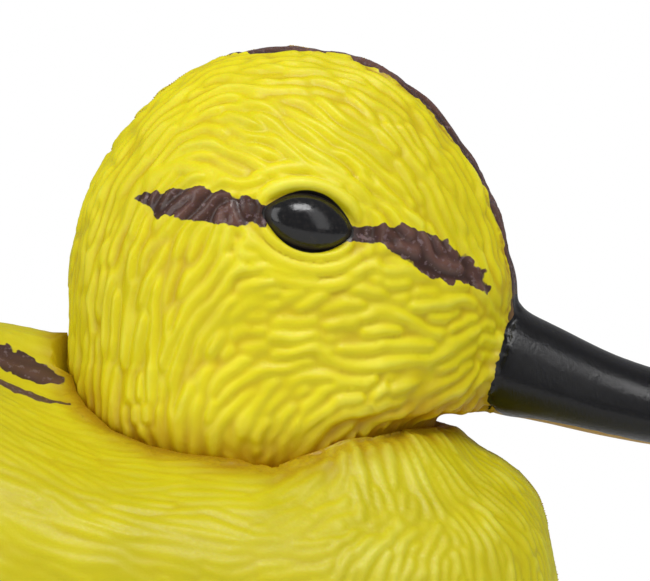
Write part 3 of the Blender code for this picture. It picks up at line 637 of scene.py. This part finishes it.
def black_gloss(name):
    finish, tree, surface, place = new_finish(name)
    dust = speckle(tree, place, 1.8, 4.0, 0.6)
    colour = mixed(tree, ramped(tree, dust, 0.45, 0.8), (0.006, 0.006, 0.007), (0.020, 0.017, 0.016))
    smear = sum_of(tree, "MULTIPLY", speckle(tree, place, 0.7), 0.12)
    edge = sum_of(tree, "ADD", mark_of(tree, "edge"), smear)
    ring = ramped(tree, edge, 0.90, 0.94)
    tree.links.new(mixed(tree, ring, colour, (0.009, 0.005, 0.004)), surface.inputs["Base Color"])
    rough = mixed_value(tree, ramped(tree, dust, 0.4, 0.7), 0.14, 0.24)
    tree.links.new(mixed_value(tree, ring, rough, 0.5), surface.inputs["Roughness"])
    surface.inputs["IOR"].default_value = 1.5
    scuff = node_of(tree, "Bump", Strength=0.4, Distance=0.05 * MM, Height=speckle(tree, place, 2.2, 5.0))
    tree.links.new(scuff.outputs[0], surface.inputs["Normal"])
    return finish


EYE_FINISH = black_gloss("eye_bead_black")


def make_eye(node, around=64, rise=28):
    centre, along, up, out = EYES[node]
    bm = bmesh.new()
    rows = []
    for i in range(1, rise):
        tip = math.pi * i / rise
        row = []
        for k in range(around):
            angle = 2 * math.pi * k / around
            u = math.sin(tip) * math.cos(angle)
            w = math.sin(tip) * math.sin(angle)
            pinch = 1 - LID_PINCH * abs(u) ** 2.5
            spot = centre + along * u * EYE_LENGTH / 2 + up * w * pinch * EYE_HEIGHT / 2
            row.append(bm.verts.new((spot + out * math.cos(tip) * EYE_DEPTH / 2) * MM))
        rows.append(row)
    front = bm.verts.new((centre + out * EYE_DEPTH / 2) * MM)
    back = bm.verts.new((centre - out * EYE_DEPTH / 2) * MM)
    for k in range(around):
        n = (k + 1) % around
        bm.faces.new((front, rows[0][k], rows[0][n]))
        bm.faces.new((back, rows[-1][n], rows[-1][k]))
        for i in range(len(rows) - 1):
            bm.faces.new((rows[i][k], rows[i + 1][k], rows[i + 1][n], rows[i][n]))
    bmesh.ops.recalc_face_normals(bm, faces=bm.faces)
    mesh = bpy.data.meshes.new(node + "_bead")
    bm.to_mesh(mesh)
    bm.free()
    gap = np.array([v.co for v in mesh.vertices]) / MM - centre
    edge = np.hypot(gap @ along / (EYE_LENGTH / 2), gap @ up / (EYE_HEIGHT / 2))
    mesh.attributes.new("edge", "FLOAT", "POINT").data.foreach_set("value", edge.astype(np.float32))
    mesh.shade_smooth()
    eye = bpy.data.objects.new(node + "_bead", mesh)
    bpy.context.scene.collection.objects.link(eye)
    mesh.materials.append(EYE_FINISH)
    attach(eye, "head")
    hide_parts(node)


for eye_node in EYES:
    make_eye(eye_node)

# ---------------------------------------------------------------- body
# The second hollow moulding: breast, back, belly and tail, with finer and longer locks than the head's
# and brown streaks brushed along the back. The head sits in its neck cup.
BODY_GRAIN = 0.44
LIP_GAP = 0.32  # left between the head and the cup's lip
BODY_LAY = (
    (23.7, -6.1, 0.1, -1), (31.1, -10.5, 0.35, -1), (34.7, -17.0, 0.1, -1), (16.2, -8.0, -0.1, -1),
    (18.8, -17.9, -0.6, -0.8), (6.8, -11.5, -0.6, -0.7), (4.0, -17.9, -1, -0.2), (-6.0, -11.5, -1, 0.1),
    (-16.0, -13.5, -1, 0.2), (-25.9, -5.5, -1, 0.75), (-25.9, -20.5, -1, 0.5), (-45.0, -5.0, -1, 0.15),
    (-45.0, 8.0, -1, -0.05), (-80.0, 0.0, -1, 0.3), (-105.0, 5.0, -1, 0.5), (-60.0, -30.0, -1, 0.2),
    (0.0, -35.0, -1, 0.0), (30.0, -35.0, -0.7, -0.3), (38.0, -26.0, -0.1, -1),
)


def make_body():
    rng = np.random.default_rng(21)
    drain_low, drain_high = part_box("drain_plug")
    drain_x = (drain_low.x + drain_high.x) / 2 / MM
    cups = [
        ((NECK_X, 0, 48.4), (0, 0, -1), 13.0, 5.2, 1.6),
        ((drain_x, 0, 16.2), (0, 0, 1), 4.6, 6.0, 1.4),
    ]
    points, quads, tris = wrapped_skin("body_shell", BODY_GRAIN, cups)
    pairs = neighbour_pairs(quads, tris)
    points = eased(points, pairs, 12)
    normals = unit(eased(out_of_skin(points, quads, tris), pairs, 8))

    def run_at(p, n):
        return lie_of_feathers(p, n, BODY_LAY)

    runs = run_at(points, normals)
    strands = carved_locks(points, normals, runs, run_at, (8.0, 1.8), rng)
    clumps = carved_locks(points, normals, runs, run_at, (11.0, 5.5), rng)
    strands = eased(strands, pairs, 2)
    clumps = eased(clumps, pairs, 14)

    x, y, z = points.T
    from_axis = np.hypot(x - NECK_X, y)
    inward = (normals[:, 0] * (x - NECK_X) + normals[:, 1] * y) / np.maximum(from_axis, 1)
    in_cup = (from_axis < 27.6) & (z > 44) & ((inward < 0.25) | (from_axis < 25))
    in_cup = eased(in_cup.astype(float), pairs, 3)
    fitted = ease_in(z, 17.5, 21.0)
    height = (0.30 + 0.42 * ease_in(x - NECK_X, 4, 16)) * strands + 0.28 * clumps
    height += 1.5 * wing_bulge(points)
    # The relief height also sets the painted valley shade and the painted ridge highlight of the body's
    # plastic.
    ridge_mark = np.clip(0.28 + height / 0.70, 0, 1.3)
    sunk = (height - 0.45) * (1 - ease_in(in_cup, 0.15, 0.6)) * fitted
    points = closed_crease(points + normals * sunk[:, None])
    rim_gap = np.hypot(points[:, 0] - NECK_X, points[:, 1]) - 26.2
    marks = {
        # Inside the neck cup the painted shade is held at one middle strength.
        "ridge": np.where(in_cup > 0.5, 0.3, ridge_mark),
        "bill": np.full(len(points), -9.0),
        "brown": back_marks(points, normals),
        # Painted shade on the cup's lip next to the head.
        "crease": np.where(z > 45, 1 - ease_in(rim_gap, 0.3, 4.5), 0),
    }
    keep = np.where(in_cup > 0.5, 0.5, np.where(z < 30, 0.5, 1.0))
    body = thinned("body", points, quads, tris, marks, 195000, keep)
    body.data.materials.append(painted_plastic("yellow_plastic_body"))
    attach(body, "float")
    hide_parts("body_shell")


def closed_crease(points):
    """The breast drawn up to the chin, and the cup's lip drawn in to the head all round."""
    x, y, z = points.T
    from_axis = np.hypot(x - NECK_X, y)
    behind = np.degrees(np.abs(np.arctan2(y, x - NECK_X)))  # 0 ahead of the neck, 180 behind it
    lift = np.interp(behind, (0, 10, 18, 40, 62, 72, 84), (1.5, 1.6, 2.4, 4.3, 3.8, 2.0, 0.0))
    lift *= 1 - ease_in(from_axis, 26.5, 31.0 + 6.0 * ease_in(behind, 12, 40))
    drop = 5.0 * ease_in(behind, 85, 145) * (1 - 1.1 * ease_in(behind, 155, 178))
    lift -= drop * (1 - ease_in(from_axis, 30.0, 50.0))
    lift *= ease_in(z, 50, 58) * ease_in(from_axis, 20, 24.5)
    z = z + lift
    sink = np.clip((SEAM_Z - z) / (12 + LIP_GAP), 0, 1)
    cup_wall = 16 + LIP_GAP + 9.4 * np.sqrt(1 - sink ** 2)
    lip = ease_in(z, 55, 58)
    lined = (from_axis < 27.2) & (z > 52)
    drawn = 0.45 * lip + 0.75 * ease_in(behind, 140, 165) * ease_in(z - SEAM_Z, -1, 3)
    moved = np.where(lined, np.maximum(from_axis - drawn, cup_wall * lip + from_axis * (1 - lip)), from_axis)
    scale = moved / np.maximum(from_axis, 1)
    return np.stack([NECK_X + (x - NECK_X) * scale, y * scale, z], 1)


def wing_bulge(points):
    """A stub of a wing folded on each side, its rear end higher and free of the flank."""
    x, y, z = points.T
    ahead, above = x + 36, z - 51
    ahead, above = ahead * 0.97 - above * 0.24, ahead * 0.24 + above * 0.97
    round_off = np.hypot(ahead / 25, above / (7.2 + 0.10 * ahead))
    return ease_in(1.12 - round_off, 0, 0.30) * (0.7 + 0.3 * ease_in(-ahead, -20, 20)) * (np.abs(y) > 15)


def back_marks(points, normals):
    """The brown streaks along the back and on the tail."""
    x, y = points[:, 0], points[:, 1]
    marks = np.full(len(points), -5.0)
    behind = ease_in(-x, 3, 12)
    for line, half in ((9.2, 2.0), (14.6, 1.3)):
        middle = line * (1 - 0.0045 * np.abs(x + 20))
        streak = half * (0.7 + 0.3 * np.sin(x / 6 + line)) * behind - np.abs(np.abs(y) - middle)
        marks = np.maximum(marks, np.where((normals[:, 2] > 0.2) & (x < 0), streak, -5))
    tail = ease_in(-x, 76, 90) * 3 - 1.2
    return np.maximum(marks, np.where(normals[:, 2] > 0, tail, -5))


make_body()

# ---------------------------------------------------------------- mould flash
# Fine beads of flash that were left where the two halves of each mould met. They follow the middle line
# of the head and of the breast.
FLASH_SPACING, FLASH_SIZE = 0.34, 0.13


def plain_plastic(name, colour, rough, grain=2.4, relief=0.08):
    """A moulded plastic or rubber with a fine grain and slight unevenness of colour."""
    finish, tree, surface, place = new_finish(name)
    cloud, fine = speckle(tree, place, 0.18), speckle(tree, place, grain, 4.0, 0.6)
    deep = tuple(c * 0.78 for c in colour)
    tree.links.new(mixed(tree, ramped(tree, cloud, 0.35, 0.7), deep, colour), surface.inputs["Base Color"])
    tree.links.new(mixed_value(tree, fine, rough - 0.08, rough + 0.08), surface.inputs["Roughness"])
    bump = node_of(tree, "Bump", Strength=0.35, Distance=relief * MM, Height=fine)
    tree.links.new(bump.outputs[0], surface.inputs["Normal"])
    return finish


def flash_nodes():
    """Beads set along a line at a spacing, their sizes varied, as one mesh."""
    tree = bpy.data.node_groups.new("mould_flash", "GeometryNodeTree")
    face = tree.interface
    face.new_socket("Line", in_out="INPUT", socket_type="NodeSocketGeometry")
    for name, kind in (("Spacing", "Float"), ("Bead size", "Float"), ("Seed", "Int"), ("Finish", "Material")):
        face.new_socket(name, in_out="INPUT", socket_type="NodeSocket" + kind)
    face.new_socket("Beads", in_out="OUTPUT", socket_type="NodeSocketGeometry")
    start, end = tree.nodes.new("NodeGroupInput"), tree.nodes.new("NodeGroupOutput")
    curve = tree.nodes.new("GeometryNodeMeshToCurve")
    spaced = tree.nodes.new("GeometryNodeResampleCurve")
    spaced.mode = "LENGTH"
    bead = tree.nodes.new("GeometryNodeMeshIcoSphere")
    bead.inputs["Subdivisions"].default_value = 2
    sizes = tree.nodes.new("FunctionNodeRandomValue")
    sizes.data_type = "FLOAT_VECTOR"
    sizes.inputs[0].default_value = (0.5, 0.4, 0.4)
    sizes.inputs[1].default_value = (1.7, 1.0, 1.0)
    placed = tree.nodes.new("GeometryNodeInstanceOnPoints")
    realised = tree.nodes.new("GeometryNodeRealizeInstances")
    coated = tree.nodes.new("GeometryNodeSetMaterial")
    for out, into in (
        (start.outputs["Line"], curve.inputs[0]), (curve.outputs[0], spaced.inputs["Curve"]),
        (start.outputs["Spacing"], spaced.inputs["Length"]),
        (start.outputs["Bead size"], bead.inputs["Radius"]),
        (start.outputs["Seed"], sizes.inputs["Seed"]), (sizes.outputs[0], placed.inputs["Scale"]),
        (spaced.outputs[0], placed.inputs["Points"]), (bead.outputs["Mesh"], placed.inputs["Instance"]),
        (placed.outputs[0], realised.inputs[0]), (realised.outputs[0], coated.inputs["Geometry"]),
        (start.outputs["Finish"], coated.inputs["Material"]), (coated.outputs[0], end.inputs[0]),
    ):
        tree.links.new(out, into)
    return tree


def middle_line(host, centre, angles):
    """Places where rays in the middle plane, from around a centre, meet a piece's skin."""
    tree = BVHTree.FromPolygons([v.co for v in host.data.vertices], [p.vertices for p in host.data.polygons])
    spots = []
    for angle in np.radians(angles):
        way = Vector((math.cos(angle), 0, math.sin(angle)))
        hit = tree.ray_cast(Vector(centre) * MM + way * 0.2, -way)[0]
        if hit is not None:
            spots.append(hit)
    return spots


def add_flash(name, host, centre, angles, seed, body):
    spots = middle_line(host, centre, angles)
    mesh = bpy.data.meshes.new(name + "_line")
    mesh.from_pydata(spots, [(k, k + 1) for k in range(len(spots) - 1)], [])
    line = bpy.data.objects.new(name + "_line", mesh)
    bpy.context.scene.collection.objects.link(line)
    beads = line.modifiers.new("flash", "NODES")
    beads.node_group = FLASH_NODES
    values = {"Spacing": FLASH_SPACING * MM, "Bead size": FLASH_SIZE * MM, "Seed": seed,
              "Finish": FLASH_FINISH}
    for item in FLASH_NODES.interface.items_tree:
        if item.in_out == "INPUT" and item.name in values:
            beads[item.identifier] = values[item.name]
    graph = bpy.context.evaluated_depsgraph_get()
    made = bpy.data.meshes.new_from_object(line.evaluated_get(graph))
    bpy.data.objects.remove(line)
    made.shade_smooth()
    flash = bpy.data.objects.new(name, made)
    bpy.context.scene.collection.objects.link(flash)
    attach(flash, body)


FLASH_NODES = flash_nodes()
FLASH_FINISH = plain_plastic("flash_golden", (0.50, 0.31, 0.02), 0.42)
OVER_HEAD, DOWN_BREAST = np.arange(20, 148, 1.5), np.arange(-52, 24, 1.5)  # degrees up from the bill's way
add_flash("head_flash", bpy.data.objects["head"], (NECK_X, 0, SEAM_Z + 22), OVER_HEAD, 3, "head")
add_flash("breast_flash", bpy.data.objects["body"], (NECK_X + 4, 0, SEAM_Z - 24), DOWN_BREAST, 5, "float")

# ---------------------------------------------------------------- neck plug and seal
# A white snap plug of stiff plastic, bonded in the head's floor, and the black rubber ring under its
# flange that drags on the cup's floor.


def finished_copy(node, finish, body, edge=0.25, sharp=35):
    """A piece made from its solid: its facets merged, its sharp edges eased and its round faces smooth."""
    bm = bmesh.new()
    bm.from_mesh(SOLIDS[node].data)
    bmesh.ops.remove_doubles(bm, verts=bm.verts, dist=2e-6)
    bmesh.ops.dissolve_limit(bm, angle_limit=math.radians(1), verts=bm.verts, edges=bm.edges)
    bmesh.ops.recalc_face_normals(bm, faces=bm.faces)
    if edge:
        crisp = [e for e in bm.edges if len(e.link_faces) == 2 and e.calc_face_angle() > math.radians(sharp)]
        bmesh.ops.bevel(bm, geom=crisp, offset=edge * MM, segments=2, profile=0.5,
                        affect="EDGES", clamp_overlap=True)
    bmesh.ops.triangulate(bm, faces=bm.faces)
    mesh = bpy.data.meshes.new(node + "_finished")
    bm.to_mesh(mesh)
    bm.free()
    mesh.shade_smooth()
    mesh.set_sharp_from_angle(angle=math.radians(sharp))
    mesh.materials.append(finish)
    piece = bpy.data.objects.new(node + "_finished", mesh)
    bpy.context.scene.collection.objects.link(piece)
    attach(piece, body)
    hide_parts(node)
    return piece


RUBBER = plain_plastic("black_rubber", (0.022, 0.022, 0.024), 0.62, 3.2, 0.05)
WHITE_PLASTIC = plain_plastic("white_plastic", (0.72, 0.71, 0.66), 0.42)
finished_copy("neck_plug", WHITE_PLASTIC, "head", 0.2)
finished_copy("neck_seal", RUBBER, "float", 0)

# ---------------------------------------------------------------- keel, ballast and screws
# A dark grey moulded keel with a line hole, a steel bar in its trough, and the two stainless
# screws with washers that hold it up to the belly.


def worn_metal(name, colour, rough, scratch):
    """Steel with fine drawn scratches and duller patches."""
    finish, tree, surface, place = new_finish(name)
    lines = speckle(tree, stretched(tree, place, (0.3, 3.0, 3.0)), scratch, 3.0)
    cloud = speckle(tree, place, 0.4)
    dull = tuple(c * 0.7 for c in colour)
    tree.links.new(mixed(tree, ramped(tree, cloud, 0.4, 0.7), colour, dull), surface.inputs["Base Color"])
    tree.links.new(mixed_value(tree, lines, rough - 0.1, rough + 0.12), surface.inputs["Roughness"])
    surface.inputs["Metallic"].default_value = 1.0
    bump = node_of(tree, "Bump", Strength=0.3, Distance=0.03 * MM, Height=lines)
    tree.links.new(bump.outputs[0], surface.inputs["Normal"])
    return finish


GREY_PLASTIC = plain_plastic("grey_plastic", (0.045, 0.047, 0.050), 0.48, 1.6)
BAR_STEEL = worn_metal("cast_steel", (0.36, 0.35, 0.34), 0.5, 1.2)
finished_copy("keel", GREY_PLASTIC, "float", 0.3)
finished_copy("ballast_bar", BAR_STEEL, "float", 0.4)
STAINLESS = worn_metal("stainless_steel", (0.62, 0.61, 0.60), 0.3, 2.0)
for fixing in ("keel_screw_front", "keel_screw_rear", "keel_washer_front", "keel_washer_rear"):
    finished_copy(fixing, STAINLESS, "float", 0.12)

# ---------------------------------------------------------------- drain plug
# A soft rubber plug pushed into the belly behind the keel. It pulls straight down.
finished_copy("drain_plug", RUBBER, "drain", 0.35)

# ---------------------------------------------------------------- floor, light and camera
# A plain pale floor, an even white room, a tall soft lamp on each side and a smaller one overhead.


FLOOR_RADIUS = 0.24


def make_stage():
    bm = bmesh.new()
    bmesh.ops.create_circle(bm, cap_ends=True, segments=96, radius=FLOOR_RADIUS)
    mesh = bpy.data.meshes.new("floor")
    bm.to_mesh(mesh)
    bm.free()
    floor = bpy.data.objects.new("floor", mesh)
    bpy.context.scene.collection.objects.link(floor)
    finish, tree, surface, place = new_finish("pale_floor")
    tree.links.new(mixed(tree, speckle(tree, place, 0.02), (0.86, 0.86, 0.86), (0.9, 0.9, 0.9)),
                   surface.inputs["Base Color"])
    surface.inputs["Roughness"].default_value = 0.8
    mesh.materials.append(finish)


def soft_lamp(name, place, aim, size, power):
    lamp = bpy.data.lights.new(name, "AREA")
    lamp.shape = "RECTANGLE"
    lamp.size, lamp.size_y = size
    lamp.energy = power
    holder = bpy.data.objects.new(name, lamp)
    holder.location = place
    holder.rotation_euler = (Vector(aim) - Vector(place)).to_track_quat("-Z", "Y").to_euler()
    bpy.context.scene.collection.objects.link(holder)


def place_camera(azimuth, elevation, lens, width, ahead, above):
    """A camera that sees a width of the object, centred ahead of and above the neck seam."""
    a, e = math.radians(azimuth), math.radians(elevation)
    right = Vector((math.cos(a), math.sin(a), 0))
    back = Vector((math.sin(a) * math.cos(e), -math.cos(a) * math.cos(e), math.sin(e)))
    up = back.cross(right)
    target = SWIVEL + right * ahead * MM + up * above * MM
    camera = bpy.data.cameras.new("camera")
    camera.lens = lens
    camera.sensor_width = 36
    camera.clip_start = 0.01
    holder = bpy.data.objects.new("camera", camera)
    holder.location = target + back * width * MM * lens / 36
    holder.rotation_euler = back.to_track_quat("Z", "Y").to_euler()
    bpy.context.scene.collection.objects.link(holder)
    bpy.context.scene.camera = holder


def make_room():
    """White walls to look at, which give less light than the lamps do."""
    world = bpy.data.worlds.new("white_room")
    world.use_nodes = True
    tree = world.node_tree
    seen = tree.nodes.new("ShaderNodeLightPath").outputs["Is Camera Ray"]
    light = mixed(tree, seen, (0.24, 0.24, 0.245), (1.0, 1.0, 1.0))
    tree.links.new(light, tree.nodes["Background"].inputs[0])
    bpy.context.scene.world = world


make_stage()
middle = (0.02, 0, 0.075)
soft_lamp("lamp_left", (-0.60, -0.46, 0.34), middle, (0.34, 1.1), 2.85)
soft_lamp("lamp_right", (0.42, -0.56, 0.36), middle, (0.30, 0.9), 1.1)
soft_lamp("lamp_top", (0.14, -0.44, 0.80), middle, (0.34, 0.34), 3.75)
make_room()
bpy.context.scene.view_settings.view_transform = "Standard"
place_camera(0, 1, 180, 88.7, 9.4, 15.6)
